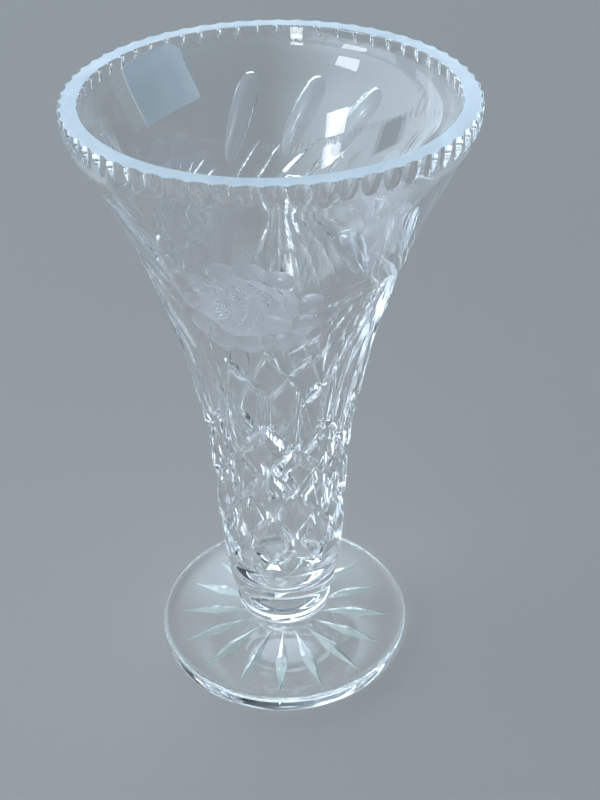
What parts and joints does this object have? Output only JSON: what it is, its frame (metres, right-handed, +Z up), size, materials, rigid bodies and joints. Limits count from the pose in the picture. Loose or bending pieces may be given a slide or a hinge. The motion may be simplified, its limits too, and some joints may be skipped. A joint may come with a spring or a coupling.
{
  "type": "flower vase",
  "caption": "Clear cut-glass vase: a flared trumpet bowl with a scalloped rim and crossed mitre cuts, on a collar and a round star-cut foot.",
  "frame": {"origin": "centre of the foot's underside, on the surface that the vase stands on", "axes": "+Z up along the vase's axis, -Y towards the front, where one of the engraved flowers is"},
  "size_m": [0.115, 0.115, 0.2],
  "materials": {
    "cut_crystal": "polished clear lead crystal, satin where it is ground or engraved",
    "label_paper": "matt coated paper sticker, blank"
  },
  "bodies": {
    "root": {"bowl": "cut_crystal", "collar": "cut_crystal", "foot": "cut_crystal", "price_label": "label_paper"}
  },
  "joints": []
}
